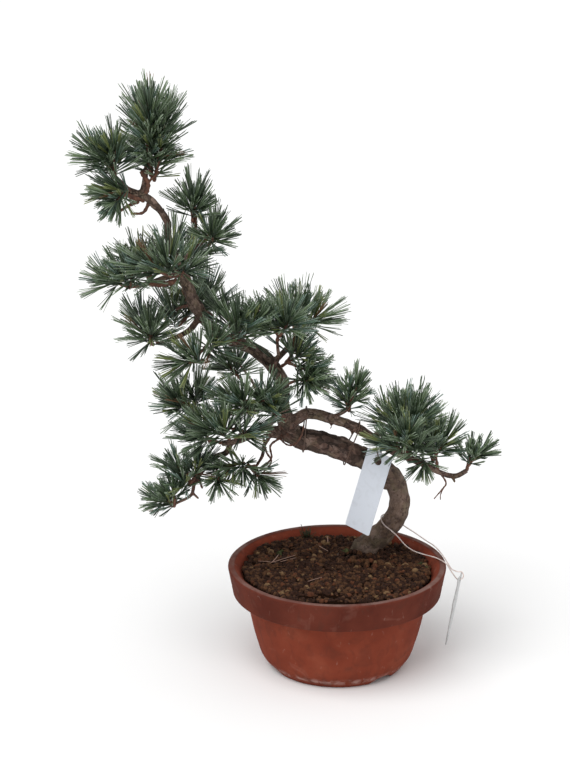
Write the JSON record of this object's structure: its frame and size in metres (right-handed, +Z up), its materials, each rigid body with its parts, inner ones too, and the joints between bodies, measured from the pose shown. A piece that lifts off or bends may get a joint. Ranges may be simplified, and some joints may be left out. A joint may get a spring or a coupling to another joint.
{
  "type": "japanese white pine bonsai",
  "caption": "Slanting potted pine bonsai: bent tapering trunk, long side boughs and open tufts of needles, in a round unglazed clay pot with soil.",
  "frame": {"origin": "middle of the whole plant's bounding box at the level of the pot's underside", "axes": "+Z up; the trunk leans towards -X; -Y faces the camera of the reference view"},
  "size_m": [0.4112, 0.22, 0.5932],
  "materials": {
    "fired_clay": "unglazed terracotta, dusty and worn at the foot and lip",
    "soil_granules": "loose dark-brown baked-clay granules",
    "bark": "rough grey-brown bark with dark flakes",
    "pine_needles": "blue-green pine needles on reddish-brown twigs",
    "tag_plastic": "bluish white, matt",
    "slip_plastic": "grey-white, weathered",
    "string": "thin pinkish-white string",
    "wire": "thin brown tie wire"
  },
  "bodies": {
    "root": {"bough_apex": "bark", "bough_hanging": "bark", "bough_low_back": "bark", "bough_low_west": "bark", "bough_lower_drop": "bark", "bough_lower_left": "bark", "bough_mid_back": "bark", "bough_mid_left": "bark", "bough_mid_right": "bark", "bough_mid_top": "bark", "bough_right": "bark", "bough_right_back": "bark", "bough_right_end": "bark", "bough_right_twig": "bark", "bough_upper_left": "bark", "bough_upper_right": "bark", "foliage_apex_left": "pine_needles", "foliage_apex_low": "pine_needles", "foliage_apex_right": "pine_needles", "foliage_hanging": "pine_needles", "foliage_low_back": "pine_needles", "foliage_low_drop": "pine_needles", "foliage_low_front": "pine_needles", "foliage_low_left_end": "pine_needles", "foliage_low_left_top": "pine_needles", "foliage_low_right": "pine_needles", "foliage_low_west": "pine_needles", "foliage_lower_front": "pine_needles", "foliage_lower_front_left": "pine_needles", "foliage_mid_back": "pine_needles", "foliage_mid_centre": "pine_needles", "foliage_mid_front": "pine_needles", "foliage_mid_left": "pine_needles", "foliage_mid_left_back": "pine_needles", "foliage_mid_right": "pine_needles", "foliage_mid_right_back": "pine_needles", "foliage_mid_right_low": "pine_needles", "foliage_mid_top": "pine_needles", "foliage_right_back": "pine_needles", "foliage_right_end": "pine_needles", "foliage_right_front": "pine_needles", "foliage_right_low": "pine_needles", "foliage_right_mid": "pine_needles", "foliage_right_near": "pine_needles", "foliage_right_top": "pine_needles", "foliage_upper_back": "pine_needles", "foliage_upper_front": "pine_needles", "foliage_upper_left_end": "pine_needles", "foliage_upper_left_top": "pine_needles", "foliage_upper_right_side": "pine_needles", "foliage_upper_right_top": "pine_needles", "label_string": "string", "name_tag": "tag_plastic", "pot": "fired_clay", "slip_label": "slip_plastic", "soil": "soil_granules", "tag_wire": "wire", "tie_left": "wire", "tie_right": "wire", "trunk": "bark"}
  },
  "joints": []
}
